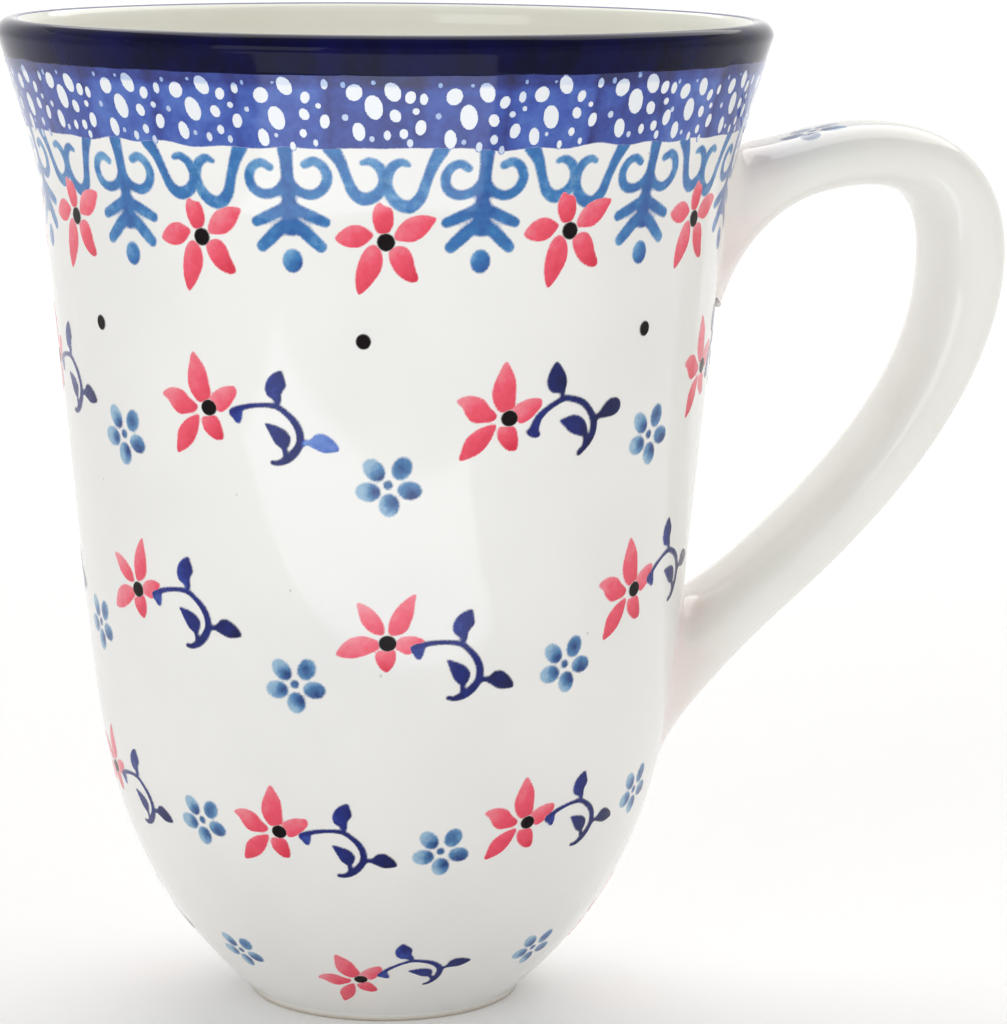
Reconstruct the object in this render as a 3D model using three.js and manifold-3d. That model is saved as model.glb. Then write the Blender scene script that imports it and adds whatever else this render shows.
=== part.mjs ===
// Stoneware mug: a slip-cast cup with a rounded belly and a flared lip, a cast strap handle
// stuck on with two beds of slip, and a cobalt band glazed over the lip.
// Millimetres, +Z up. The origin is on the cup's axis, in the plane that the foot stands on.
// The handle points to +X.

import * as THREE from 'three';
import { mergeVertices } from 'three/addons/utils/BufferGeometryUtils.js';
import Module from 'manifold-3d';

// ---- driving dimensions ----

const GAP = 0.3; // clearance between two pieces that touch

// cup
const CUP_HEIGHT = 126.2;
const RIM_RADIUS = 48.9;
const WALL = 4.4;
const LIP_THICKNESS = 3.8;
const FLOOR_THICKNESS = 6;
const FOOT_RADIUS = 17.4;
const FOOT_WIDTH = 3.4;
const FOOT_HEIGHT = 0.7;
const UNDERSIDE_RECESS = 0.8;
const FOOT_BEVEL = { inner: 0.4, outer: 0.2 };
const BOWL_DEPTH = 9; // how far the inside rounds up from the floor to the straight wall

// outside of the cup: a straight wall that leans outwards, drawn in to the foot and opened to the lip
const NECK_RADIUS = 43.4; // where the flare starts
const WALL_LEAN = 0.095; // radius gained for each millimetre up
const BELLY = { height: 55, roundness: 3.5 }; // the side curves in to the foot below this height
const FLARE = { height: 20, roundness: 1.3 }; // the last stretch below the lip, which opens out

// cobalt band round the outside of the lip
const BAND_HEIGHT = 4.7;
const BAND_THICKNESS = 0.9;

// handle: a strap on a curve that leaves the cup below the lip and comes back above the belly
const HANDLE_TOP = { below: 26.7 }; // where the strap's middle enters the wall
const HANDLE_BASE = { above: 38.5 };
const HANDLE_REACH = 33.3; // from the cup's side to the middle of the strap
const STRAP_WIDTH = 19.6;
const STRAP_THICKNESS = 7.9;
const STRAP_SQUARENESS = 2.6; // 2 is an ellipse, more is squarer
const HEEL = { thickness: 1.9, at: 0.62, spread: 0.12 }; // extra thickness on the outermost bend
const TOP_FLARE = { width: 5.4, thickness: 14.9, length: 0.16 }; // gained where it meets the cup
const BASE_FLARE = { width: 3.8, thickness: 8, length: 0.2 };
const ROOT_LENGTH = 6; // how far the strap's raw ends run into the cup before they are cut
const SLIP_THICKNESS = 1.2; // bed of slip between the handle and the cup

// the strap's middle line: two smooth stretches that meet where it stands out farthest
const OUTERMOST = { below: 30 };
const BASE_LEAVING = { angle: 36, pull: 28 }; // degrees above level, and how far it holds that course
const TOP_LEAVING = { angle: 32, pull: 24 };
const OUTER_PULL = { down: 22, up: 17 }; // how far it stays upright below and above the outermost place

// finishes
const CLEAR_GLAZE = { color: 0xe6e4de, roughness: 0.12 };
const COBALT_GLAZE = { color: 0x14163c, roughness: 0.08 };
const GLAZED_SLIP = { color: 0xe4dcd8, roughness: 0.15 };

// fineness of the faceted solids
const AROUND_CUP = 60;
const UP_SIDE = 24;
const SIDE_PACE = 0.6; // 0 spaces the side's rows evenly, towards 1 crowds them at its ends
const ROUND_LIP = 6;
const BOWL_STEPS = 7;
const ALONG_STRAP = 44;
const AROUND_STRAP = 20;

// ---- solids ----

const wasm = await Module();
wasm.setup();

// A closed three.js geometry as a solid, with its shared corners merged.
function solid(geometry) {
  const bare = new THREE.BufferGeometry();
  bare.setAttribute('position', geometry.getAttribute('position').clone());
  if (geometry.index) bare.setIndex(geometry.index.clone());
  const merged = mergeVertices(bare, 1e-4);
  const corners = [];
  const { array } = merged.index;
  for (let i = 0; i < array.length; i += 3) {
    const [a, b, c] = [array[i], array[i + 1], array[i + 2]];
    if (a !== b && b !== c && c !== a) corners.push(a, b, c);
  }
  return new wasm.Manifold(new wasm.Mesh({
    numProp: 3,
    vertProperties: new Float32Array(merged.getAttribute('position').array),
    triVerts: new Uint32Array(corners),
  }));
}

// A solid as a named mesh with its own finish.
function piece(name, body, finish) {
  const { vertProperties, triVerts } = body.getMesh();
  const geometry = new THREE.BufferGeometry();
  geometry.setAttribute('position', new THREE.BufferAttribute(vertProperties, 3));
  geometry.setIndex(new THREE.BufferAttribute(triVerts, 1));
  geometry.computeVertexNormals();
  const material = new THREE.MeshStandardMaterial({ ...finish, metalness: 0 });
  const mesh = new THREE.Mesh(geometry, material);
  mesh.name = name;
  return mesh;
}

// Turns a profile of [radius, height] points about the cup's axis. The points run up the outside.
function turned(profile) {
  const points = profile.map(([radius, height]) => new THREE.Vector2(radius, height));
  const geometry = new THREE.LatheGeometry(points, AROUND_CUP);
  geometry.rotateX(Math.PI / 2);
  return solid(geometry);
}

// ---- the cup's side ----

const lipRound = LIP_THICKNESS / 2;
const lipCentre = { radius: RIM_RADIUS - lipRound, height: CUP_HEIGHT - lipRound };

// The side as a curve from the foot to the lip, its points closer together near both ends.
class CupSide extends THREE.Curve {
  getPoint(share) {
    const paced = share - (SIDE_PACE * Math.sin(2 * Math.PI * share)) / (2 * Math.PI);
    const height = THREE.MathUtils.lerp(FOOT_HEIGHT, lipCentre.height, paced);
    return new THREE.Vector2(sideRadius(height), height);
  }
}
const sideCurve = new CupSide();

// The radius of the leaning wall at a height, before the belly and the flare shape it.
function wallRadius(height) {
  return NECK_RADIUS + WALL_LEAN * (height - (lipCentre.height - FLARE.height));
}

// The radius of the cup's side at a height.
function sideRadius(height) {
  const down = THREE.MathUtils.clamp((BELLY.height - height) / (BELLY.height - FOOT_HEIGHT), 0, 1);
  const up = THREE.MathUtils.clamp(1 - (lipCentre.height - height) / FLARE.height, 0, 1);
  const drawnIn = (wallRadius(FOOT_HEIGHT) - FOOT_RADIUS) * down ** BELLY.roundness;
  const opened = (RIM_RADIUS - wallRadius(lipCentre.height)) * up ** FLARE.roundness;
  return wallRadius(height) - drawnIn + opened;
}

// Points up the cup's side, moved inwards at right angles to it by the given distance.
function sideInset(distance) {
  const points = [];
  for (let step = 0; step <= UP_SIDE; step += 1) {
    const at = sideCurve.getPoint(step / UP_SIDE);
    const along = sideCurve.getTangent(step / UP_SIDE);
    points.push([at.x - along.y * distance, at.y + along.x * distance]);
  }
  return points;
}

// An arc over the lip, from one angle to another in degrees, 0 being outwards and 90 up.
function lipArc(radius, from, to) {
  const points = [];
  for (let step = 0; step <= ROUND_LIP; step += 1) {
    const angle = THREE.MathUtils.degToRad(from + ((to - from) * step) / ROUND_LIP);
    points.push([
      lipCentre.radius + radius * Math.cos(angle),
      lipCentre.height + radius * Math.sin(angle),
    ]);
  }
  return points;
}

// The cup's inside, from the lip down to the middle of the floor.
function insideProfile() {
  const floorTop = UNDERSIDE_RECESS + FLOOR_THICKNESS;
  const wall = sideInset(WALL).filter(([, z]) => z > floorTop + BOWL_DEPTH && z < lipCentre.height);
  wall.pop(); // leaves the wall to run smoothly into the lip
  const [last, before] = wall.slice(0, 2);
  const slope = (before[0] - last[0]) / (before[1] - last[1]);
  const knee = new THREE.Vector2(last[0] - slope * (last[1] - floorTop), floorTop);
  const bowl = new THREE.QuadraticBezierCurve(
    new THREE.Vector2(...last),
    knee,
    new THREE.Vector2(0, floorTop),
  );
  const round = bowl.getPoints(BOWL_STEPS).map((point) => [point.x, point.y]);
  return [...wall.reverse(), ...round.slice(1)];
}

function fullCup() {
  return turned([
    [0, UNDERSIDE_RECESS],
    [FOOT_RADIUS - FOOT_WIDTH, UNDERSIDE_RECESS],
    [FOOT_RADIUS - FOOT_WIDTH + FOOT_BEVEL.inner, 0],
    [FOOT_RADIUS - FOOT_BEVEL.outer, 0],
    [FOOT_RADIUS, FOOT_BEVEL.outer],
    ...sideInset(0),
    ...lipArc(lipRound, 0, 180).slice(1),
    ...insideProfile(),
  ]);
}

// Everything inside the cup's side, as one filled body, its side moved inwards by the distance.
function core(distance) {
  const side = sideInset(distance);
  return turned([
    [0, side[0][1]],
    ...side,
    ...lipArc(lipRound - distance, 0, 90).slice(1),
    [0, CUP_HEIGHT - distance],
  ]);
}

// ---- the cobalt band ----

// The room round the lip that the band takes up, grown by a clearance.
function bandZone(clearance) {
  const low = CUP_HEIGHT - BAND_HEIGHT - clearance;
  const inner = lipCentre.radius - clearance;
  const outer = RIM_RADIUS + BAND_HEIGHT;
  const high = CUP_HEIGHT + BAND_HEIGHT;
  return turned([[inner, low], [outer, low], [outer, high], [inner, high], [inner, low]]);
}

function rimBand(cup) {
  return cup.intersect(bandZone(0)).subtract(core(BAND_THICKNESS));
}

function cupBody(cup) {
  return cup.subtract(bandZone(GAP).subtract(core(BAND_THICKNESS + GAP)));
}

// ---- the handle ----

// The strap's middle line, with its raw ends inside the cup.
function strapLine() {
  const low = HANDLE_BASE.above;
  const high = CUP_HEIGHT - HANDLE_TOP.below;
  const outermost = CUP_HEIGHT - OUTERMOST.below;
  const heading = ({ angle, pull }) => new THREE.Vector3(
    pull * Math.cos(THREE.MathUtils.degToRad(angle)), 0, pull * Math.sin(THREE.MathUtils.degToRad(angle)),
  );
  const base = new THREE.Vector3(sideRadius(low) - ROOT_LENGTH, 0, low);
  const bend = new THREE.Vector3(sideRadius(outermost) + HANDLE_REACH, 0, outermost);
  const top = new THREE.Vector3(sideRadius(high) - ROOT_LENGTH, 0, high);
  const line = new THREE.CurvePath();
  line.add(new THREE.CubicBezierCurve3(
    base, heading(BASE_LEAVING).add(base), new THREE.Vector3(bend.x, 0, bend.z - OUTER_PULL.down), bend,
  ));
  line.add(new THREE.CubicBezierCurve3(
    bend, new THREE.Vector3(bend.x, 0, bend.z + OUTER_PULL.up), heading(TOP_LEAVING).add(top), top,
  ));
  return line;
}

// How much of a root's flare is left at a share of the strap's length: 1 in the wall, 0 when free.
function flareLeft(share, length) {
  const free = THREE.MathUtils.clamp(share / length, 0, 1);
  return (1 - free) ** 2;
}

// A rounded, flattened section of the strap, as [across, out] points.
function strapSection(width, thickness) {
  const power = 2 / STRAP_SQUARENESS;
  const points = [];
  for (let step = 0; step < AROUND_STRAP; step += 1) {
    const angle = (2 * Math.PI * step) / AROUND_STRAP;
    const [c, s] = [Math.cos(angle), Math.sin(angle)];
    points.push([
      (width / 2) * Math.sign(c) * Math.abs(c) ** power,
      (thickness / 2) * Math.sign(s) * Math.abs(s) ** power,
    ]);
  }
  return points;
}

function rawStrap() {
  const line = strapLine();
  const across = new THREE.Vector3(0, 1, 0);
  const positions = [];
  const corners = [];
  for (let step = 0; step <= ALONG_STRAP; step += 1) {
    const share = step / ALONG_STRAP;
    const at = line.getPointAt(share);
    const out = line.getTangentAt(share).cross(across).normalize();
    const base = flareLeft(share, BASE_FLARE.length);
    const top = flareLeft(1 - share, TOP_FLARE.length);
    const heel = Math.exp(-(((share - HEEL.at) / HEEL.spread) ** 2));
    const width = STRAP_WIDTH + BASE_FLARE.width * base + TOP_FLARE.width * top;
    const thickness = STRAP_THICKNESS + HEEL.thickness * heel
      + BASE_FLARE.thickness * base + TOP_FLARE.thickness * top;
    for (const [w, t] of strapSection(width, thickness)) {
      const corner = at.clone().addScaledVector(across, w).addScaledVector(out, t);
      positions.push(corner.x, corner.y, corner.z);
    }
  }
  for (let step = 0; step < ALONG_STRAP; step += 1) {
    for (let side = 0; side < AROUND_STRAP; side += 1) {
      const a = step * AROUND_STRAP + side;
      const b = step * AROUND_STRAP + ((side + 1) % AROUND_STRAP);
      const [c, d] = [a + AROUND_STRAP, b + AROUND_STRAP];
      corners.push(a, b, d, a, d, c);
    }
  }
  const lastRing = ALONG_STRAP * AROUND_STRAP;
  for (let side = 1; side < AROUND_STRAP - 1; side += 1) {
    corners.push(0, side + 1, side);
    corners.push(lastRing, lastRing + side, lastRing + side + 1);
  }
  const geometry = new THREE.BufferGeometry();
  geometry.setAttribute('position', new THREE.Float32BufferAttribute(positions, 3));
  geometry.setIndex(corners);
  return solid(geometry);
}

// ---- the mug ----

const cup = fullCup();
const strap = rawStrap();
const slipBeds = strap.intersect(core(-GAP - SLIP_THICKNESS).subtract(core(-GAP))).decompose();
slipBeds.sort((a, b) => a.boundingBox().min[2] - b.boundingBox().min[2]);
const [lowerBed, upperBed] = slipBeds;

const mug = new THREE.Group();

const cupGroup = new THREE.Group();
cupGroup.add(piece('cup_body', cupBody(cup), CLEAR_GLAZE));
cupGroup.add(piece('rim_band', rimBand(cup), COBALT_GLAZE));
mug.add(cupGroup);

const handleGroup = new THREE.Group();
handleGroup.add(piece('handle', strap.subtract(core(-2 * GAP - SLIP_THICKNESS)), CLEAR_GLAZE));
handleGroup.add(piece('upper_handle_joint', upperBed, GLAZED_SLIP));
handleGroup.add(piece('lower_handle_joint', lowerBed, GLAZED_SLIP));
mug.add(handleGroup);

export default mug;
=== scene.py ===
import math
import random

import bpy
import numpy as np
from mathutils import Matrix, Vector


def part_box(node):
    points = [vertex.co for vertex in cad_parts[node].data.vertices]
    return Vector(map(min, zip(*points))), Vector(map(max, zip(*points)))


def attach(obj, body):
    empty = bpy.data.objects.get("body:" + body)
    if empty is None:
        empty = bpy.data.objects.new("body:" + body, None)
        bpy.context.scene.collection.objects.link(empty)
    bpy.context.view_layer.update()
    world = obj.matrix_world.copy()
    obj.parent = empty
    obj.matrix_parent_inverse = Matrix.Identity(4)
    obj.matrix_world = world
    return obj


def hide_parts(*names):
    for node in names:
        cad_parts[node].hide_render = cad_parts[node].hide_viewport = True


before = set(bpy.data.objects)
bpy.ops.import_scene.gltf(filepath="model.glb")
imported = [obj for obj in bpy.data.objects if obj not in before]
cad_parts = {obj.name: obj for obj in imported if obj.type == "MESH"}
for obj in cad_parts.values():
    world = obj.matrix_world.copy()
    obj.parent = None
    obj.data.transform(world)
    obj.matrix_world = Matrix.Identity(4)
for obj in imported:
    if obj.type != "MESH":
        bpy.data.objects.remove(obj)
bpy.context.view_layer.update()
MM = 0.001
scene = bpy.context.scene

# ---- the cup's shape, in millimetres

CUP_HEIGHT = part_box("rim_band")[1][2] / MM
RIM_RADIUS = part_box("rim_band")[1][0] / MM
BAND_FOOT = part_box("rim_band")[0][2] / MM
HANDLE_AZIMUTH = 98.0  # the handle's direction, counted from the decorated front
WALL = 4.4
LIP = 1.9  # half the lip's thickness
FOOT_RADIUS = 17.4
FOOT_WIDTH = 3.4
RECESS = 0.8
FLOOR_TOP = 6.8
BOWL_DEPTH = 9.0
LIP_HEIGHT = CUP_HEIGHT - LIP
LIP_CENTRE = np.array([RIM_RADIUS - LIP, LIP_HEIGHT])
FOOT_HEIGHT = 0.7
NECK_RADIUS = 43.4  # where the flare starts
WALL_LEAN = 0.095  # radius gained for each millimetre up
BELLY_HEIGHT, BELLY_ROUNDNESS = 55, 3.5
FLARE_HEIGHT, FLARE_ROUNDNESS = 20, 1.3
SIDE_ROWS = 113
SIDE_PACE = 0.6  # 0 spaces the side's rows evenly, towards 1 crowds them at its ends


def unit(vectors):
    return vectors / np.linalg.norm(vectors, axis=-1)[..., None]


def run_length(points):
    """How far along a line of points each of them lies."""
    return np.concatenate([[0], np.cumsum(np.linalg.norm(np.diff(points, axis=0), axis=1))])


def wall_radius(z):
    """The straight, leaning wall, before the belly and the flare shape it."""
    return NECK_RADIUS + WALL_LEAN * (z - (LIP_HEIGHT - FLARE_HEIGHT))


def shaped_side(z):
    """The cup's side: the wall drawn in to the foot and opened to the lip."""
    down = np.clip((BELLY_HEIGHT - z) / (BELLY_HEIGHT - FOOT_HEIGHT), 0, 1)
    up = np.clip(1 - (LIP_HEIGHT - z) / FLARE_HEIGHT, 0, 1)
    drawn_in = (wall_radius(FOOT_HEIGHT) - FOOT_RADIUS) * down**BELLY_ROUNDNESS
    opened = (RIM_RADIUS - wall_radius(LIP_HEIGHT)) * up**FLARE_ROUNDNESS
    return wall_radius(z) - drawn_in + opened


_share = np.linspace(0, 1, SIDE_ROWS)
_paced = _share - SIDE_PACE * np.sin(2 * np.pi * _share) / (2 * np.pi)
_side_height = FOOT_HEIGHT + (LIP_HEIGHT - FOOT_HEIGHT) * _paced
SIDE = np.stack([shaped_side(_side_height), _side_height], 1)
_step = unit(np.gradient(SIDE, axis=0))
SIDE_NORMAL = np.stack([_step[:, 1], -_step[:, 0]], 1)
# the outside goes on over the lip, to its crest
_turn = np.radians(np.linspace(0, 90, 13))[1:]
_over = np.stack([np.cos(_turn), np.sin(_turn)], 1)
OUTSIDE = np.vstack([SIDE, LIP_CENTRE + LIP * _over])
OUT_NORMAL = np.vstack([SIDE_NORMAL, _over])
OUT_NORMAL[len(SIDE) - 1] = (1, 0)
OUT_ARC = run_length(OUTSIDE)


def side_radius(z):
    return np.interp(z, SIDE[:, 1], SIDE[:, 0])


def arc_of(z):
    return np.interp(z, SIDE[:, 1], OUT_ARC[: len(SIDE)])


def on_side(arc):
    """Radius, height and the two parts of the normal at arc lengths up the outside."""
    return [np.interp(arc, OUT_ARC, column) for column in (*OUTSIDE.T, *OUT_NORMAL.T)]


def theta(azimuth):
    return np.radians(azimuth - HANDLE_AZIMUTH)


def from_handle(azimuth):
    """How many degrees round the cup an azimuth is from the handle."""
    return abs((azimuth - HANDLE_AZIMUTH + 180) % 360 - 180)


def wobble(x, seed, terms=5):
    """Smooth repeatable unevenness round the cup, about -1 to 1, for angles in radians."""
    rng = random.Random(seed)
    total = np.zeros_like(np.asarray(x, float))
    size = 0
    for k in range(terms):
        a = rng.uniform(0.5, 1)
        size += a * a / 2
        total = total + a * np.sin(rng.randint(3 + 4 * k, 9 + 9 * k) * x + rng.uniform(0, 6.28))
    return total / (2 * math.sqrt(size))


# ---- meshes


def make_object(name, verts, faces, material, normals=None, attributes=None, scale=MM):
    mesh = bpy.data.meshes.new(name)
    mesh.from_pydata((np.asarray(verts) * scale).tolist(), [], faces)
    for key, values in (attributes or {}).items():
        mesh.attributes.new(key, "FLOAT", "POINT").data.foreach_set("value", np.asarray(values, np.float32))
    mesh.shade_smooth()
    mesh.materials.append(material)
    if normals is not None:
        mesh.normals_split_custom_set_from_vertices(np.asarray(normals, float).tolist())
    obj = bpy.data.objects.new(name, mesh)
    scene.collection.objects.link(obj)
    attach(obj, "root")
    return obj


def tube_faces(rows, around):
    """The quads between neighbouring rings of points."""
    ids = np.arange(rows * around).reshape(rows, around)
    nxt = np.roll(ids, -1, 1)
    return np.stack([ids[:-1], nxt[:-1], nxt[1:], ids[1:]], -1).reshape(-1, 4)


def lathe(profile, around, shift=None, closed=False):
    """Turns (radius, height) rows about the axis. shift(radii, heights, angles) moves the points."""
    profile = np.array(profile, float)
    rows = len(profile)
    angles = np.arange(around) * 2 * math.pi / around
    r = np.repeat(profile[:, :1], around, 1)
    z = np.repeat(profile[:, 1:2], around, 1)
    if shift is not None:
        r, z = shift(r, z, angles[None, :])
    verts = np.stack([r * np.cos(angles), r * np.sin(angles), z], -1).reshape(-1, 3)
    faces = []
    poles = [0 if profile[0, 0] < 1e-9 else None, rows - 1 if profile[-1, 0] < 1e-9 else None]
    for i in range(rows if closed else rows - 1):
        j = (i + 1) % rows
        for k in range(around):
            m = (k + 1) % around
            if i == poles[0]:
                faces.append((0, j * around + m, j * around + k))
            elif j == poles[1]:
                faces.append((i * around + k, i * around + m, j * around))
            else:
                faces.append((i * around + k, i * around + m, j * around + m, j * around + k))
    keep = np.ones(len(verts), bool)
    for pole in poles:
        if pole is not None:
            keep[pole * around + 1 : (pole + 1) * around] = False
    index = np.cumsum(keep) - 1
    faces = [tuple(int(index[v]) for v in f) for f in faces]
    row_of = np.repeat(np.arange(rows), around)[keep]
    return verts[keep], faces, row_of


# ---- brush marks, in millimetres on the surface


def spline_points(points, per=6, closed=False):
    """A centripetal curve through rows of numbers; only the first two columns set its pace."""
    p = np.array(points, float)
    n = len(p)
    if closed:
        ext = np.vstack([p[-1], p, p[0], p[1]])
    else:
        ext = np.vstack([2 * p[0] - p[1], p, 2 * p[-1] - p[-2]])
    out = []
    for i in range(n if closed else n - 1):
        q = ext[i : i + 4]
        gaps = [max(np.hypot(*(q[k + 1, :2] - q[k, :2])) ** 0.5, 1e-4) for k in range(3)]
        t = np.cumsum([0] + gaps)
        for s in np.linspace(t[1], t[2], per, endpoint=False):
            a = [(t[k + 1] - s) / gaps[k] * q[k] + (s - t[k]) / gaps[k] * q[k + 1] for k in range(3)]
            b = []
            for k in range(2):
                span = t[k + 2] - t[k]
                b.append((t[k + 2] - s) / span * a[k] + (s - t[k]) / span * a[k + 1])
            out.append((t[2] - s) / gaps[1] * b[0] + (s - t[1]) / gaps[1] * b[1])
    if not closed:
        out.append(p[-1])
    return np.array(out)


def to_segments(grid, ends):
    a, b = ends[:-1, :2], ends[1:, :2]
    d = b - a
    rel = grid[:, None, :] - a[None]
    t = np.clip((rel * d).sum(-1) / np.maximum((d * d).sum(-1), 1e-9), 0, 1)
    return np.linalg.norm(rel - t[..., None] * d, axis=-1), t


class Blob:
    """A filled outline. pool, as (x, y, strength, size), is a spot where the paint gathered."""

    def __init__(self, points, tone=0.5, lean=(0, 0), round_it=True, pool=None):
        self.outline = spline_points(points, 5, True) if round_it else np.array(points, float)
        self.tone, self.lean, self.pool = tone, np.array(lean, float), pool

    def box(self):
        return self.outline.min(0), self.outline.max(0)

    def measure(self, grid):
        ring = np.vstack([self.outline, self.outline[:1]])
        away = to_segments(grid, ring)[0].min(1)
        a, b = ring[:-1], ring[1:]
        x, y = grid[:, :1], grid[:, 1:2]
        crosses = (a[:, 1] > y) != (b[:, 1] > y)
        rise = np.where(b[:, 1] == a[:, 1], 1e-9, b[:, 1] - a[:, 1])
        at = a[:, 0] + (y - a[:, 1]) / rise * (b[:, 0] - a[:, 0])
        inside = (crosses & (x < at)).sum(1) % 2 == 1
        middle = self.outline.mean(0)
        spread = np.abs(self.outline - middle).max()
        tone = self.tone + ((grid - middle) / spread) @ self.lean
        if self.pool is not None:
            x, y, strength, size = self.pool
            tone = tone + strength * np.exp(-(((grid - middle - (x, y)) ** 2).sum(1)) / size**2)
        return np.where(inside, -away, away), tone


class Stroke:
    """A brush line through (x, y, width) points with rounded ends."""

    def __init__(self, points, tone=0.5, end_tone=None):
        self.line = spline_points(points, 6)
        self.tone, self.end_tone = tone, tone if end_tone is None else end_tone

    def box(self):
        w = self.line[:, 2:3] / 2
        return (self.line[:, :2] - w).min(0), (self.line[:, :2] + w).max(0)

    def measure(self, grid):
        away, t = to_segments(grid, self.line)
        w = self.line[:-1, 2] + t * np.diff(self.line[:, 2])
        d = away - w / 2
        best = d.argmin(1)
        pick = np.arange(len(grid))
        share = (best + t[pick, best]) / (len(self.line) - 1)
        return d[pick, best], self.tone + (self.end_tone - self.tone) * share


def rotated(u, v, turn, size=1.0):
    c, s = math.cos(math.radians(turn)) * size, math.sin(math.radians(turn)) * size
    return c * u - s * v, s * u + c * v


def dot_mark(x, y, wide, high=None, turn=0.0, tone=0.5, lean=(0, 0), pool=None):
    high = wide if high is None else high
    a = np.arange(16) * math.pi / 8
    ring = np.stack(rotated(wide / 2 * np.cos(a), high / 2 * np.sin(a), turn), 1)
    return Blob(ring + (x, y), tone, lean, False, pool)


def mirrored(points):
    return [(-p[0],) + tuple(p[1:]) for p in points]


def shifted(points, dx, dy):
    return [(p[0] + dx, p[1] + dy) + tuple(p[2:]) for p in points]


def stamp(marks, cell=0.25, bleed=0.15, web=0.0):
    """The union of some marks as a flat mesh: places, faces, depth inside the outline, tone.
    web rounds the inner corners where two marks run together."""
    low = np.min([m.box()[0] for m in marks], 0) - bleed - cell
    high = np.max([m.box()[1] for m in marks], 0) + bleed + cell
    nx, ny = (np.ceil((high - low) / cell).astype(int) + 1).tolist()
    xs, ys = low[0] + cell * np.arange(nx), low[1] + cell * np.arange(ny)
    grid = np.stack(np.meshgrid(xs, ys), -1).reshape(-1, 2)
    depth = np.full(len(grid), 1e3)
    tone = np.zeros(len(grid))
    for m in marks:
        a, b = m.box()
        near = np.where(((grid > a - 1.2) & (grid < b + 1.2)).all(1))[0]
        d, t = m.measure(grid[near])
        if web:
            h = np.clip(0.5 + 0.5 * (depth[near] - d) / web, 0, 1)
            depth[near] = depth[near] + (d - depth[near]) * h - web * h * (1 - h)
            tone[near] = tone[near] + (t - tone[near]) * h
        else:
            better = d < depth[near]
            depth[near[better]] = d[better]
            tone[near[better]] = t[better]
    depth -= bleed
    depth[np.abs(depth) < 0.03 * cell] = -0.03 * cell
    places, faces, found = [], [], {}

    def node(i):
        if i not in found:
            found[i] = len(places)
            places.append((grid[i, 0], grid[i, 1], -depth[i], tone[i]))
        return found[i]

    def crossing(i, j):
        key = (min(i, j), max(i, j))
        if key not in found:
            f = depth[i] / (depth[i] - depth[j])
            p = grid[i] + f * (grid[j] - grid[i])
            found[key] = len(places)
            places.append((p[0], p[1], 0.0, tone[i] if depth[i] < 0 else tone[j]))
        return found[key]

    inside = depth < 0
    block = inside.reshape(ny, nx)
    busy = block[:-1, :-1] | block[:-1, 1:] | block[1:, :-1] | block[1:, 1:]
    for row, col in zip(*np.nonzero(busy)):
        corner = [row * nx + col, row * nx + col + 1, (row + 1) * nx + col + 1, (row + 1) * nx + col]
        face = []
        for k in range(4):
            i, j = corner[k], corner[(k + 1) % 4]
            if inside[i]:
                face.append(node(i))
            if inside[i] != inside[j]:
                face.append(crossing(i, j))
        faces.append(face)
    return np.array(places), faces


class Layer:
    """Marks of one colour laid on the cup: a thin skin whose outline sinks into the glaze."""

    SINK = 0.03

    def __init__(self, raised, soft=0.3):
        self.raised = raised
        self.soft = soft  # how far in from its outline a mark's colour builds up
        self.verts, self.normals, self.edge, self.tone, self.faces = [], [], [], [], []
        self.count = 0

    def _add(self, verts, normals, flat, tone_shift):
        lift = np.clip(flat[:, 2] / 0.2, 0, 1)[:, None] * (self.raised + self.SINK) - self.SINK
        self.verts.append(verts + normals * lift)
        self.normals.append(normals)
        self.edge.append(np.clip(flat[:, 2] / self.soft, 0, 1))
        self.tone.append(flat[:, 3] + tone_shift)

    def _take(self, faces, number):
        self.faces.extend([tuple(v + self.count for v in f) for f in faces])
        self.count += number

    def press(self, mark, azimuth, height, turn=0.0, size=1.0, tone=0.0):
        flat, faces = mark
        u, v = rotated(flat[:, 0], flat[:, 1], turn, size)
        r, z, nr, nz = on_side(arc_of(height) + v)
        th = theta(azimuth) + u / side_radius(height)
        normals = unit(np.stack([nr * np.cos(th), nr * np.sin(th), nz], 1))
        under_rim = 0.45 * np.clip((z - BAND_FOOT + 1.4) / 0.4, 0, 1)
        self._add(np.stack([r * np.cos(th), r * np.sin(th), z], 1), normals, flat, tone + under_rim)
        self._take(faces, len(flat))

    def press_on(self, mark, place, turn=0.0, size=1.0, tone=0.0):
        """Presses a mark through place(u, v) -> places and normals, used on the handle."""
        flat, faces = mark
        verts, normals = place(*rotated(flat[:, 0], flat[:, 1], turn, size))
        self._add(verts, normals, flat, tone)
        self._take(faces, len(flat))

    def build(self, name, material, slot):
        verts, normals = np.vstack(self.verts), np.vstack(self.normals)
        values = {"edge": np.concatenate(self.edge), "tone": np.concatenate(self.tone)}
        make_object(name, verts, self.faces, material, normals, values)


# ---- materials


def linear(r, g, b):
    out = [(c / 255 / 12.92 if c / 255 <= 0.04045 else ((c / 255 + 0.055) / 1.055) ** 2.4) for c in (r, g, b)]
    return (*out, 1.0)


GLAZE = linear(238, 237, 233)
GLAZE_DEEP = linear(233, 232, 229)
CREAM = linear(243, 242, 232)
CREAM_DEEP = linear(239, 238, 226)
CLAY = linear(205, 196, 180)


def shades(*stops):
    """The stops of a colour ramp, from rows of (place, red, green, blue)."""
    return [(at, linear(*rgb)) for at, *rgb in stops]


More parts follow.
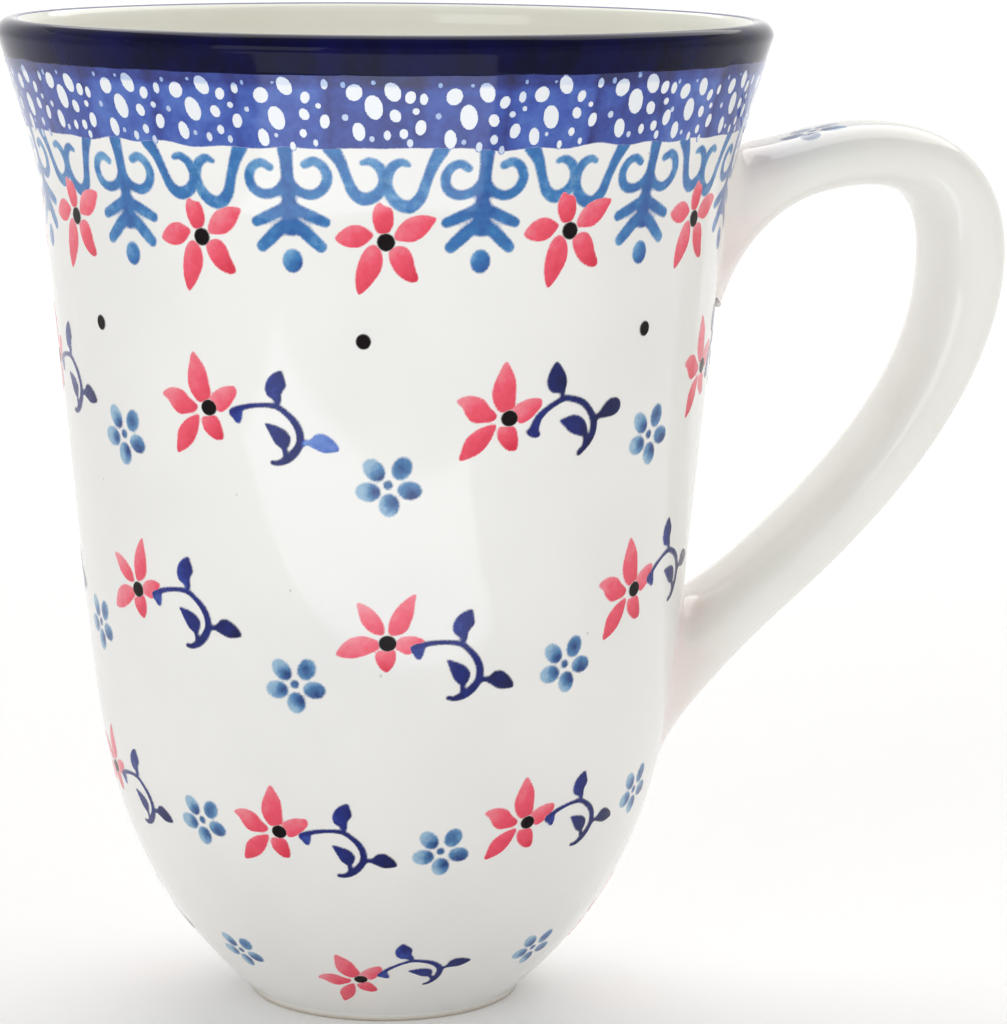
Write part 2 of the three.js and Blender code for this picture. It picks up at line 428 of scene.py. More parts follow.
class Graph:
    """The nodes of one material, ending in one shader."""

    def __init__(self, name):
        self.material = bpy.data.materials.new(name)
        self.material.use_nodes = True
        self.tree = self.material.node_tree
        self.tree.nodes.clear()
        self.shader = self.add("ShaderNodeBsdfPrincipled")
        out = self.add("ShaderNodeOutputMaterial")
        self.link(self.shader.outputs["BSDF"], out.inputs["Surface"])
        self.coords = self.add("ShaderNodeTexCoord").outputs["Object"]

    def add(self, kind, **settings):
        node = self.tree.nodes.new(kind)
        for key, value in settings.items():
            setattr(node, key, value)
        return node

    def link(self, a, b):
        self.tree.links.new(a, b)

    def put(self, socket, value):
        if isinstance(value, (int, float, tuple)):
            socket.default_value = value
        else:
            self.link(value, socket)

    def attribute(self, name):
        return self.add("ShaderNodeAttribute", attribute_name=name).outputs["Fac"]

    def noise(self, size, detail=2.0, rough=0.5, stretch=None):
        """Noise whose features are about size millimetres across."""
        node = self.add("ShaderNodeTexNoise")
        node.inputs["Scale"].default_value = 1 / (size * MM)
        node.inputs["Detail"].default_value = detail
        node.inputs["Roughness"].default_value = rough
        source = self.coords
        if stretch:
            mapping = self.add("ShaderNodeMapping")
            mapping.inputs["Scale"].default_value = stretch
            self.link(source, mapping.inputs["Vector"])
            source = mapping.outputs["Vector"]
        self.link(source, node.inputs["Vector"])
        return node.outputs["Fac"]

    def unevenness(self, amount, *noise):
        """Noise about zero."""
        return self.math("MULTIPLY", self.math("SUBTRACT", self.noise(*noise), 0.5), amount)

    def math(self, kind, a, b=0.0, clamp=False):
        node = self.add("ShaderNodeMath", operation=kind, use_clamp=clamp)
        self.put(node.inputs[0], a)
        self.put(node.inputs[1], b)
        return node.outputs[0]

    def remap(self, value, low, high, to_low=0.0, to_high=1.0, smooth=True):
        node = self.add("ShaderNodeMapRange", interpolation_type="SMOOTHSTEP" if smooth else "LINEAR")
        self.put(node.inputs["Value"], value)
        for key, number in (("From Min", low), ("From Max", high), ("To Min", to_low), ("To Max", to_high)):
            node.inputs[key].default_value = number
        return node.outputs["Result"]

    def mix(self, factor, a, b):
        node = self.add("ShaderNodeMix", data_type="RGBA")
        self.put(node.inputs["Factor"], factor)
        self.put(node.inputs["A"], a)
        self.put(node.inputs["B"], b)
        return node.outputs["Result"]

    def ramp(self, value, stops):
        node = self.add("ShaderNodeValToRGB")
        while len(node.color_ramp.elements) < len(stops):
            node.color_ramp.elements.new(0.5)
        for element, (at, colour) in zip(node.color_ramp.elements, stops):
            element.position = at
            element.color = colour
        self.link(value, node.inputs["Fac"])
        return node.outputs["Color"]

    def glaze_colour(self):
        """The clear glaze over white clay: a faint drift in tone and a few tiny grey specks."""
        drift = self.remap(self.noise(26, 2), 0.35, 0.7)
        base = self.mix(drift, GLAZE, GLAZE_DEEP)
        cells = self.add("ShaderNodeTexVoronoi")
        cells.inputs["Scale"].default_value = 1 / (9 * MM)
        self.link(self.coords, cells.inputs["Vector"])
        speck = self.remap(cells.outputs["Distance"], 0.012, 0.03, 0.5, 0.0)
        return self.mix(speck, base, linear(172, 164, 154))

    def glaze_gloss(self, roughness=0.07, wave=0.11, grain=0.02):
        self.shader.inputs["Roughness"].default_value = roughness
        self.shader.inputs["IOR"].default_value = 1.52
        swell = self.add("ShaderNodeBump")
        swell.inputs["Strength"].default_value = wave
        swell.inputs["Distance"].default_value = 0.9 * MM
        self.link(self.noise(15, 1.5, 0.4), swell.inputs["Height"])
        pores = self.add("ShaderNodeBump")
        pores.inputs["Strength"].default_value = grain
        pores.inputs["Distance"].default_value = 0.15 * MM
        self.link(self.noise(1.3, 2), pores.inputs["Height"])
        self.link(swell.outputs["Normal"], pores.inputs["Normal"])
        self.link(pores.outputs["Normal"], self.shader.inputs["Normal"])

    def colour(self, value):
        self.put(self.shader.inputs["Base Color"], value)


CORAL_STOPS = shades((0.0, 238, 138, 150), (0.45, 234, 76, 100), (1.0, 212, 28, 62))
INDIGO_STOPS = shades((0.0, 112, 148, 214), (0.3, 60, 88, 176), (0.6, 28, 42, 124), (1.0, 12, 18, 72))
BLUE_STOPS = shades((0.0, 148, 182, 206), (0.45, 72, 124, 172), (1.0, 12, 58, 122))
LACE_STOPS = shades((0.0, 116, 170, 208), (0.45, 42, 114, 176), (1.0, 8, 70, 146))
SEED_STOPS = shades((0.0, 26, 16, 18), (1.0, 10, 5, 8))
SPONGE_STOPS = shades((0.0, 84, 122, 198), (0.4, 50, 78, 164), (0.7, 30, 44, 124), (1.0, 16, 20, 78))


def paint(name, stops, blotch=0.35, blotch_size=1.6, ragged=0.5, shine=0.5):
    """Underglaze paint: thin washes at its edges, pooled colour inside, all under the same glaze."""
    g = Graph(name)
    g.glaze_gloss()
    g.shader.inputs["Specular IOR Level"].default_value = shine
    cloud = g.unevenness(blotch * 2, blotch_size, 3, 0.6)
    fine = g.unevenness(ragged, 0.28, 2)
    tone = g.math("ADD", g.attribute("tone"), cloud, clamp=True)
    body = g.math("ADD", g.attribute("edge"), fine)
    wash = g.remap(body, 0.05, 0.9)
    g.colour(g.mix(wash, g.glaze_colour(), g.ramp(tone, stops)))
    return g.material


def clear_glaze():
    g = Graph("clear_glaze_on_white_clay")
    g.glaze_gloss()
    cream = g.mix(g.remap(g.noise(18, 2), 0.35, 0.7), CREAM, CREAM_DEEP)
    clay = g.mix(g.noise(0.8, 4, 0.7), CLAY, linear(184, 172, 154))
    colour = g.mix(g.attribute("inside"), g.glaze_colour(), cream)
    bare = g.attribute("bare")
    g.colour(g.mix(bare, colour, clay))
    g.link(g.remap(bare, 0, 1, 0.07, 0.85, False), g.shader.inputs["Roughness"])
    return g.material


def handle_glaze():
    g = Graph("clear_glaze_on_handle")
    g.glaze_gloss()
    drift = g.remap(g.noise(20, 2), 0.35, 0.7)
    base = g.mix(drift, linear(240, 239, 233), linear(235, 234, 227))
    # painted shade: the glaze turns warmer and darker where the strap meets the cup wall, made patchy with
    # noise
    painted_root_shade = g.math("MULTIPLY", g.attribute("painted_root_shade"), g.remap(g.noise(7, 2), 0.3, 0.7, 0.35, 1.0))
    g.colour(g.mix(painted_root_shade, base, linear(240, 226, 223)))
    return g.material


def cobalt_glaze():
    g = Graph("cobalt_glaze")
    g.glaze_gloss(0.05, 0.16, 0.03)
    g.shader.inputs["Specular IOR Level"].default_value = 0.12
    flow = g.remap(g.noise(5, 3, 0.6, (1, 1, 0.35)), 0.3, 0.75)
    base = g.mix(flow, linear(1, 2, 32), linear(4, 6, 66))
    thin = g.math("ADD", g.attribute("thin"), g.unevenness(0.5, 1.2, 3), clamp=True)
    g.colour(g.mix(g.remap(thin, 0.35, 1.0), base, linear(74, 92, 160)))
    return g.material


def speckle_paint():
    g = Graph("sponged_blue")
    g.glaze_gloss()
    tone = g.math("ADD", g.attribute("tone"), g.unevenness(0.9, 3.2, 4, 0.65), clamp=True)
    wash = g.remap(g.math("ADD", g.attribute("edge"), g.unevenness(0.6, 0.5, 3)), 0.05, 0.8)
    g.colour(g.mix(wash, g.glaze_colour(), g.ramp(tone, SPONGE_STOPS)))
    return g.material


def spot_paint():
    g = Graph("open_spots")
    g.glaze_gloss()
    wash = g.remap(g.math("ADD", g.attribute("edge"), g.unevenness(0.4, 0.28, 2)), 0.1, 0.9)
    inside = g.mix(g.remap(g.attribute("tone"), 0.3, 1.0), linear(232, 235, 238), linear(150, 176, 220))
    g.colour(g.mix(wash, linear(88, 118, 192), inside))
    return g.material


# ---- the glazed cup

AROUND = 288
BAND_FOOT_ARC = float(arc_of(BAND_FOOT))
UNDER_BAND = 0.22  # how far the cup's own surface lies inside the cobalt band's


def inset(points, normals, distance):
    return points - normals * distance


def cup_profile():
    """Rows of (radius, height, inside, bare) from under the foot, up the outside, to the inside floor."""
    inner = FOOT_RADIUS - FOOT_WIDTH
    rows = [
        (0, RECESS, 0, 0),
        (6, RECESS, 0, 0),
        (inner - 0.9, RECESS, 0, 0),
        (inner - 0.2, RECESS - 0.06, 0, 0.2),
        (inner + 0.1, RECESS - 0.35, 0, 1),
        (inner + 0.35, 0.08, 0, 1),
        (inner + 0.7, 0, 0, 1),
        (FOOT_RADIUS - 1.2, 0, 0, 1),
        (FOOT_RADIUS - 0.35, 0, 0, 1),
        (FOOT_RADIUS - 0.08, 0.1, 0, 1),
        (FOOT_RADIUS, 0.35, 0, 0.7),
    ]
    rows += [(r, z, 0, 0) for r, z in OUTSIDE[OUT_ARC < BAND_FOOT_ARC - 0.05]]
    for arc, deep in ((BAND_FOOT_ARC - 0.02, 0.0), (BAND_FOOT_ARC + 0.1, 0.2)):
        r, z, nr, nz = (float(v) for v in on_side(arc))
        rows.append((r - nr * deep, z - nz * deep, 0, 0))
    under = OUT_ARC > BAND_FOOT_ARC + 0.3
    rows += [(r, z, 0, 0) for r, z in inset(OUTSIDE[under], OUT_NORMAL[under], UNDER_BAND)]
    for angle in (97, 105, 115, 130, 145, 160, 180):
        a = math.radians(angle)
        radius = LIP - UNDER_BAND * max(0, 1 - (angle - 90) / 12)
        rows.append((LIP_CENTRE[0] + radius * math.cos(a), LIP_CENTRE[1] + radius * math.sin(a), 1, 0))
    wall = inset(SIDE, SIDE_NORMAL, WALL)
    wall = wall[(wall[:, 1] > FLOOR_TOP + BOWL_DEPTH) & (wall[:, 1] < CUP_HEIGHT - 7)]
    top, before = wall[-1], wall[-3]
    start = LIP_CENTRE - (LIP, 0)
    slope = unit(top - before)
    reach = np.linalg.norm(top - start) * 0.9
    for t in np.linspace(0, 1, 9)[1:-1]:
        h = [2 * t**3 - 3 * t**2 + 1, t**3 - 2 * t**2 + t, -2 * t**3 + 3 * t**2, t**3 - t**2]
        p = h[0] * start + h[1] * np.array([0, -reach]) + h[2] * top - h[3] * slope * reach
        rows.append((p[0], p[1], 1, 0))
    rows += [(r, z, 1, 0) for r, z in wall[::-1]]
    last, nxt = wall[0], wall[1]
    lean = (nxt[0] - last[0]) / (nxt[1] - last[1])
    knee = np.array([last[0] - lean * (last[1] - FLOOR_TOP), FLOOR_TOP])
    end = np.array([0.0, FLOOR_TOP])
    for t in np.linspace(0, 1, 25)[1:]:
        p = (1 - t) ** 2 * last + 2 * t * (1 - t) * knee + t * t * end
        rows.append((p[0], p[1], 1, 0))
    return np.array(rows)


def build_cup():
    rows = cup_profile()
    verts, faces, row_of = lathe(rows[:, :2], AROUND)
    places = {"inside": rows[row_of, 2], "bare": rows[row_of, 3]}
    cup = make_object("glazed_cup_body", verts, faces, clear_glaze(), attributes=places)
    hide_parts("cup_body")


def build_rim():
    """The cobalt band: from its brushed lower edge over the lip to the crest, where it runs thin."""
    up_band = np.linspace(BAND_FOOT_ARC + 0.9, OUT_ARC[-1], 22)
    arcs = np.concatenate([BAND_FOOT_ARC + np.array([0.0, 0.08, 0.2, 0.45]), up_band])
    lift = [-0.12, -0.02] + [0.0] * 24
    outer, thin = [], []
    for arc, up in zip(arcs, lift):
        r, z, nr, nz = (float(v) for v in on_side(arc))
        outer.append((r + nr * up, z + nz * up))
        thin.append(max(0.0, 1 - (arc - BAND_FOOT_ARC) / 0.35) * 0.75)
    over = []
    for angle in (96, 102, 108, 113):
        a = math.radians(angle)
        over.append((LIP_CENTRE[0] + (LIP + 0.004) * math.cos(a), LIP_CENTRE[1] + LIP * math.sin(a)))
        thin.append((angle - 90) / 23 + 0.1)
    for k in range(len(outer) - 9, len(outer)):
        thin[k] = max(thin[k], 0.12 * (k - len(outer) + 9) / 9)
    back = []
    for i, (r, z) in enumerate(outer[::3]):
        back.append((r - (0.5 if i else 0.2), z - (0.25 if z > CUP_HEIGHT - 0.5 else 0)))
    profile = np.array(outer + over + back[::-1])
    thin += [0.0] * len(back)

    def brushed(r, z, angles):
        near = np.clip(1 - (z - BAND_FOOT) / 1.6, 0, 1)
        dz = near * (0.16 * wobble(angles, 11, 6) + 0.05 * wobble(angles * 5, 12, 3))
        slope = (side_radius(z + dz) - side_radius(z)) * (near > 0)
        return r + slope, z + dz

    verts, faces, row_of = lathe(profile, AROUND, brushed, closed=True)
    thinness = {"thin": np.array(thin)[row_of]}
    rim = make_object("cobalt_rim", verts, faces, cobalt_glaze(), attributes=thinness)
    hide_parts("rim_band")


# ---- the strap handle

REACH = 33.3
STRAP_LOW, STRAP_HIGH = 38.5, CUP_HEIGHT - 26.7
STRAP_WIDTH, STRAP_THICK = 19.6, 7.9
SQUARENESS = 2.6  # of the strap's section: 2 is an ellipse, more is squarer
ROOT = 6.0  # how far the strap's middle line starts inside the cup's side
FILLET = 2.4
OUTERMOST_BELOW = 30  # where the strap stands out farthest, counted down from the lip
BASE_LEAVING, TOP_LEAVING = (36, 28), (32, 24)  # degrees above level, and how far it holds that course
PULL_DOWN, PULL_UP = 22, 17  # how far it stays upright below and above its outermost place


def bend_curve(start, near_start, near_end, end):
    """A cubic Bezier curve, as rows."""
    t = np.linspace(0, 1, 400)[:, None]
    early = (1 - t) ** 3 * start + 3 * (1 - t) ** 2 * t * near_start
    return early + 3 * (1 - t) * t**2 * near_end + t**3 * end


def strap_line():
    """The strap's middle line, from its base out to the farthest place and back to its top."""
    outermost = CUP_HEIGHT - OUTERMOST_BELOW
    base = np.array([side_radius(STRAP_LOW) - ROOT, STRAP_LOW])
    bend = np.array([side_radius(outermost) + REACH, outermost])
    top = np.array([side_radius(STRAP_HIGH) - ROOT, STRAP_HIGH])

    def heading(angle, pull):
        return pull * np.array([math.cos(math.radians(angle)), math.sin(math.radians(angle))])

    lower = bend_curve(base, base + heading(*BASE_LEAVING), bend - (0, PULL_DOWN), bend)
    upper = bend_curve(bend, bend + (0, PULL_UP), top + heading(*TOP_LEAVING), top)
    return np.vstack([lower, upper[1:]])


def evened(rows, spread):
    """Rows a quarter of a millimetre apart, averaged over a bell of the given spread in millimetres."""
    reach = np.arange(-int(spread * 12), int(spread * 12) + 1)
    bell = np.exp(-((reach / (4 * spread)) ** 2) / 2)
    bell /= bell.sum()
    half = len(reach) // 2
    before = [rows[:1] - (rows[1:2] - rows[:1]) * k for k in range(half, 0, -1)]
    after = [rows[-1:] + (rows[-1:] - rows[-2:-1]) * (k + 1) for k in range(half)]
    padded = np.vstack(before + [rows] + after)
    return np.stack([np.convolve(padded[:, k], bell, "valid") for k in (0, 1)], 1)


_raw = strap_line()
_raw_arc = run_length(_raw)
_even = np.linspace(0, _raw_arc[-1], int(_raw_arc[-1] * 4) + 1)
LINE = evened(np.stack([np.interp(_even, _raw_arc, _raw[:, k]) for k in (0, 1)], 1), 2.5)
LINE_ARC = run_length(LINE)
LINE_TANGENT = unit(evened(np.gradient(LINE, axis=0), 3.5))


def squarish(part):
    """Makes a circle's cosine or sine into that of the strap's section."""
    return np.sign(part) * np.abs(part) ** (2 / SQUARENESS)


def strap_at(share):
    """Middle (x, z), inward direction (x, z), width and thickness at shares of the strap's length."""
    arc = np.asarray(share) * LINE_ARC[-1]
    x, z = (np.interp(arc, LINE_ARC, LINE[:, k]) for k in (0, 1))
    tx, tz = (np.interp(arc, LINE_ARC, LINE_TANGENT[:, k]) for k in (0, 1))
    size = np.hypot(tx, tz)
    tx, tz = tx / size, tz / size
    base = (1 - np.clip(share / 0.2, 0, 1)) ** 2
    top = (1 - np.clip((1 - share) / 0.16, 0, 1)) ** 2
    heel = np.exp(-(((share - 0.62) / 0.12) ** 2))
    width = STRAP_WIDTH + 3.8 * base + 5.4 * top
    thick = STRAP_THICK + 1.9 * heel + 8 * base + 14.9 * top
    return x, z, -tz, tx, width, thick


def strap_points(share, angle):
    """Places on the strap; share and angle have one shape. Angle 90 is the side facing the cup."""
    x, z, ox, oz, width, thick = strap_at(share)
    w = width / 2 * squarish(np.cos(angle))
    t = thick / 2 * squarish(np.sin(angle))
    return np.stack([x + ox * t, w, z + oz * t], -1), np.stack([ox * t, w, oz * t], -1)


def clear_of_wall(p):
    radius = np.hypot(p[..., 0], p[..., 1])
    lean = np.interp(p[..., 2], SIDE[:, 1], SIDE_NORMAL[:, 0])
    return (radius - side_radius(p[..., 2])) * lean


def build_handle():
    around, along = 64, 150
    # evenly spread section angles by arc length, so the flat faces aren't starved
    fine = np.linspace(0, 2 * math.pi, 2881)
    across, out = STRAP_WIDTH / 2 * squarish(np.cos(fine)), STRAP_THICK / 2 * squarish(np.sin(fine))
    run = run_length(np.stack([across, out], 1))
    angles = np.interp(np.arange(around) / around * run[-1], run, fine)
    shares = np.linspace(0, 1, 1201)
    p, _ = strap_points(shares[:, None] + 0 * angles, angles[None, :] + 0 * shares[:, None])
    clear = clear_of_wall(p)
    middle = 600
    deep = -0.45
    start = np.array([np.interp(deep, clear[:middle, k], shares[:middle]) for k in range(around)])
    end = np.array([np.interp(deep, clear[middle:, k][::-1], shares[middle:][::-1]) for k in range(around)])
    # rings crowd together near the two roots
    q = np.linspace(-1, 1, along)
    spread = 0.5 + 0.5 * np.sign(q) * (1 - (1 - np.abs(q)) ** 1.7)
    spread = (spread - spread[0]) / (spread[-1] - spread[0])
    share = start[None, :] + (end - start)[None, :] * spread[:, None]
    verts, offset = strap_points(share, angles[None, :] + 0 * share)
    clear = clear_of_wall(verts)
    near = np.clip(clear, 0, FILLET)
    push = np.where(clear < FILLET, FILLET - np.sqrt(FILLET**2 - (FILLET - near) ** 2), 0)
    radial = unit(verts * (1, 1, 0))
    aside = unit(offset - (offset * radial).sum(-1)[..., None] * radial)
    verts = verts + aside * push[..., None]
    # what was pushed sideways goes back to its height over the round wall
    drift = clear - clear_of_wall(verts)
    verts = verts + radial * drift[..., None]
    flat = verts.reshape(-1, 3)
    quads = tube_faces(along, around)
    a, b = flat[quads[:, 2]] - flat[quads[:, 0]], flat[quads[:, 3]] - flat[quads[:, 1]]
    face_normal = np.cross(a, b)
    normals = np.zeros_like(flat)
    for k in range(4):
        np.add.at(normals, quads[:, k], face_normal)
    normals = unit(normals)
    outward = (normals * offset.reshape(-1, 3)).sum(1)
    if np.median(outward) < 0:
        quads = quads[:, ::-1]
        normals = -normals
    # painted shade: how strong the warm, darker tint is, full at the cup wall and gone 9 mm out along the
    # strap
    painted_root_shade = np.clip(1 - clear.reshape(-1) / 9, 0, 1)
    # the beds of slip take the faces next to the wall, the strap all others
    deepest = clear.reshape(-1)[quads].max(1)
    ring = quads[:, 0] // around
    material = handle_glaze()
    jobs = (
        ("strap_handle", deepest > 1.5, ("handle",), "handle_glaze"),
        ("lower_slip_joint", (deepest <= 1.5) & (ring < along // 2), ("lower_handle_joint",), "slip_joint"),
        ("upper_slip_joint", (deepest <= 1.5) & (ring >= along // 2), ("upper_handle_joint",), "slip_joint"),
    )
    for name, chosen, nodes, slot in jobs:
        used, index = np.unique(quads[chosen], return_inverse=True)
        faces = index.reshape(-1, 4).tolist()
        painted_shade_values = {"painted_root_shade": painted_root_shade[used]}
        obj = make_object(name, flat[used], faces, material, normals[used], painted_shade_values)
        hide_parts(*nodes)


# ---- painted decoration

LEAN = (0.22, -0.3)


def petal(points, tone=0.5, lean=LEAN):
    return Blob(points, tone, lean)


BORDER_FLOWER = [
    petal([(-0.8, 4.9), (-0.2, 4.5), (0.6, 4.2), (0.9, 3.0), (0.8, 2.0), (0.3, 1.2),
        (-0.9, 1.1), (-1.5, 2.2), (-1.6, 3.2), (-1.4, 4.2)]),
    petal([(1.0, 0.8), (1.6, 2.0), (2.6, 2.9), (4.0, 3.3), (5.3, 3.2), (6.0, 2.9),
        (5.4, 1.8), (4.6, 0.8), (3.2, 0.05), (1.8, 0.15), (1.1, 0.3)], 0.35),
    petal([(-1.5, 0.9), (-2.1, 1.5), (-3.0, 2.0), (-4.2, 2.0), (-5.3, 1.4), (-6.1, 0.4),
        (-5.4, -0.3), (-4.4, -0.65), (-3.2, -0.6), (-2.2, 0.0)], 0.45),
    petal([(-0.7, -0.9), (-1.5, -0.3), (-2.5, -0.9), (-3.2, -2.2), (-3.6, -3.6), (-3.7, -5.0),
        (-3.3, -6.4), (-2.5, -5.9), (-1.5, -4.8), (-0.6, -3.4), (-0.4, -2.0)]),
    petal([(0.4, -1.0), (1.3, -0.5), (2.4, -0.6), (3.1, -1.5), (3.5, -3.0), (3.9, -4.6),
        (3.3, -4.9), (2.3, -4.6), (1.2, -3.7), (0.5, -2.4)], 0.6),
]
FLOWER_A = [
    petal([(-0.7, 6.9), (-1.5, 5.6), (-2.1, 4.2), (-2.3, 3.0), (-2.0, 1.8), (-1.2, 0.8),
        (-0.3, 0.9), (0.1, 1.0), (0.6, 1.5), (0.7, 2.9), (0.6, 4.6), (0.1, 5.8)]),
    petal([(-6.6, 2.3), (-5.8, 2.8), (-4.6, 2.9), (-3.3, 2.4), (-2.5, 1.4), (-1.6, 0.4),
        (-2.0, -0.2), (-3.3, -0.4), (-4.6, -0.3), (-5.4, 0.5), (-5.9, 1.5)], 0.45),
    petal([(-1.7, -0.7), (-2.8, -0.8), (-4.1, -1.3), (-5.3, -2.3), (-5.8, -3.5), (-6.1, -4.9),
        (-4.9, -4.7), (-3.5, -4.0), (-2.5, -2.9), (-1.9, -1.7)], 0.6),
    petal([(-1.3, -1.1), (-0.3, -1.0), (0.7, -1.1), (1.2, -2.3), (1.1, -3.9),
        (0.2, -4.0), (-0.7, -3.4), (-1.4, -2.4)], 0.65),
    petal([(0.4, 1.0), (0.9, 1.6), (1.9, 2.1), (3.1, 2.3), (4.1, 2.1), (4.2, 1.4),
        (3.5, 0.5), (2.6, -0.3), (1.5, -0.7), (0.9, -0.3)], 0.35),
]
FLOWER_B = [
    petal([(-3.6, 5.0), (-2.8, 4.85), (-1.8, 4.2), (-0.8, 3.0), (-0.4, 2.0), (-0.5, 1.1),
        (-1.4, 1.1), (-2.4, 1.7), (-3.1, 2.6), (-3.4, 3.6)], 0.4),
    petal([(3.3, 6.1), (2.2, 5.5), (1.0, 4.3), (0.3, 3.0), (0.1, 2.0), (0.2, 1.1),
        (1.0, 1.0), (2.2, 1.5), (2.8, 2.7), (3.1, 3.8), (3.2, 4.9)], 0.5),
    petal([(-6.2, -1.5), (-5.6, -0.4), (-4.6, 0.5), (-3.2, 0.9), (-2.0, 0.7), (-1.1, 0.2),
        (-1.0, -0.6), (-1.8, -1.1), (-3.0, -1.6), (-4.4, -1.9), (-5.5, -1.8)], 0.35),
    petal([(0.9, -0.1), (1.4, 0.6), (2.4, 0.9), (3.5, 0.8), (4.5, 0.2), (4.2, -0.3),
        (3.3, -1.0), (2.4, -1.4), (1.5, -1.0), (0.9, -0.6)], 0.35),
    petal([(0.0, -0.9), (0.8, -0.8), (1.0, -1.6), (0.8, -2.6), (-0.1, -3.6),
        (-0.8, -3.2), (-1.3, -2.4), (-1.5, -1.5), (-1.0, -0.9)], 0.6),
]


def vine_a():
    def at(points):
        return shifted(points, 5.6, 0)

    return [
        Blob(at([(-3.4, -1.8), (-2.8, -1.3), (-1.9, -1.3), (-1.4, -2.3),
            (-1.9, -2.6), (-2.7, -2.4)]), 0.75),
        Stroke(
            at([(-2.4, -1.8, 1.2), (-2.1, -0.9, 1.2), (-1.7, -0.1, 1.0), (-0.7, 0.8, 0.8),
                (0.7, 1.6, 0.75), (1.8, 2.0, 0.8), (3.1, 1.8, 0.85)]
               + [(4.4, 1.3, 0.9), (5.4, 0.4, 0.95), (6.2, -0.9, 1.1), (6.3, -2.2, 1.1),
                   (5.8, -3.4, 1.0), (5.0, -4.3, 0.85), (4.3, -4.9, 0.75)]),
            0.65,
            0.95,
        ),
        Blob(at([(0.3, 6.6), (-0.5, 5.6), (-0.9, 4.4), (-0.7, 3.4), (-0.1, 2.8), (0.9, 2.6),
            (1.3, 1.9), (1.6, 2.4), (1.8, 3.2), (1.9, 4.2), (1.6, 5.1), (1.0, 6.0)]), 0.85, (0.15, 0)),
        Blob(at([(6.4, -0.6), (7.2, 0.1), (7.8, 0.8), (8.6, 1.4), (9.6, 1.5), (10.4, 1.1),
            (10.6, 0.3), (10.2, -0.4), (9.3, -0.8), (8.2, -0.9), (7.0, -1.0),
            (6.3, -1.2)]), 0.95, (-0.1, 0)),
        Blob(at([(1.2, -0.7), (2.2, -0.3), (3.3, -0.1), (4.4, -0.5), (5.1, -1.2), (5.5, -2.4),
            (5.8, -3.4), (4.9, -3.9), (4.7, -3.0), (3.8, -2.7), (2.8, -2.3),
            (2.0, -1.6)]), 0.75, (0.15, 0)),
    ]


def vine_b(outer_tone=0.9):
    def at(points):
        return shifted(points, 4.8, 0)

    return [
        Blob(at([(-2.0, -0.9), (-1.4, -0.3), (-0.4, -0.4), (-0.4, -1.2),
            (-0.9, -2.1), (-1.4, -1.9), (-1.7, -1.4)]), 0.5),
        Stroke(
            at([(-1.6, -0.6, 1.0), (-0.5, -0.2, 0.75), (1.0, 0.0, 0.65), (2.6, 0.0, 0.6),
                (4.2, -0.3, 0.75), (5.3, -1.2, 0.8), (6.2, -2.4, 0.95)]
               + [(6.6, -3.7, 1.0), (6.4, -5.0, 1.0), (5.5, -6.1, 1.1),
                   (4.4, -6.8, 1.0), (3.4, -7.1, 0.7), (2.7, -7.0, 0.6)]),
            0.65,
            0.85,
        ),
        Blob(at([(5.4, 4.0), (4.4, 3.8), (3.5, 3.1), (3.0, 2.0), (3.2, 1.1), (3.8, 0.6), (4.3, -0.1),
            (4.8, 0.2), (5.0, 1.2), (5.7, 2.2), (5.6, 3.2)]), 0.65, (0.2, 0)),
        Blob(at([(6.6, -4.6), (7.7, -4.5), (8.6, -3.9), (9.4, -3.9), (10.3, -4.5), (11.0, -5.4),
            (11.1, -6.1), (10.2, -6.3), (9.1, -6.2), (8.2, -5.7), (7.3, -5.2),
            (6.6, -5.2)]), outer_tone, (0.1, 0)),
        Blob(at([(2.4, -2.2), (3.7, -2.5), (4.8, -3.1), (5.4, -4.0), (5.2, -4.9), (4.8, -5.5),
            (4.9, -6.3), (4.2, -6.3), (4.1, -5.5), (3.4, -4.8), (2.9, -3.7),
            (2.6, -2.9)]), 0.75, (0.15, 0)),
    ]


def blue_flower():
    return [
        dot_mark(-1.7, 2.15, 3.3, 2.4, 128, 0.2, (0.25, -0.2), (0.65, -0.75, 0.6, 0.9)),
        dot_mark(1.75, 2.3, 3.1, 2.5, 65, 0.3, (0.0, 0.0), (-0.1, 0.0, 0.6, 0.95)),
        dot_mark(2.7, -0.55, 3.1, 2.4, -8, 0.4, (0.1, -0.3), (0.2, -0.4, 0.5, 1.1)),
        dot_mark(0.1, -2.4, 3.0, 2.6, 90, 0.25, (0.3, 0.2), (0.7, 0.3, 0.6, 0.9)),
        dot_mark(-2.5, -0.65, 3.2, 2.5, -5, 0.15, (0.3, 0.0), (0.85, 0.05, 0.6, 0.85)),
        dot_mark(0.0, 0.2, 1.2, 1.2, 0, 0.75),
    ]


def wider(points, by):
    return [(x, y, w * by) for x, y, w in points]


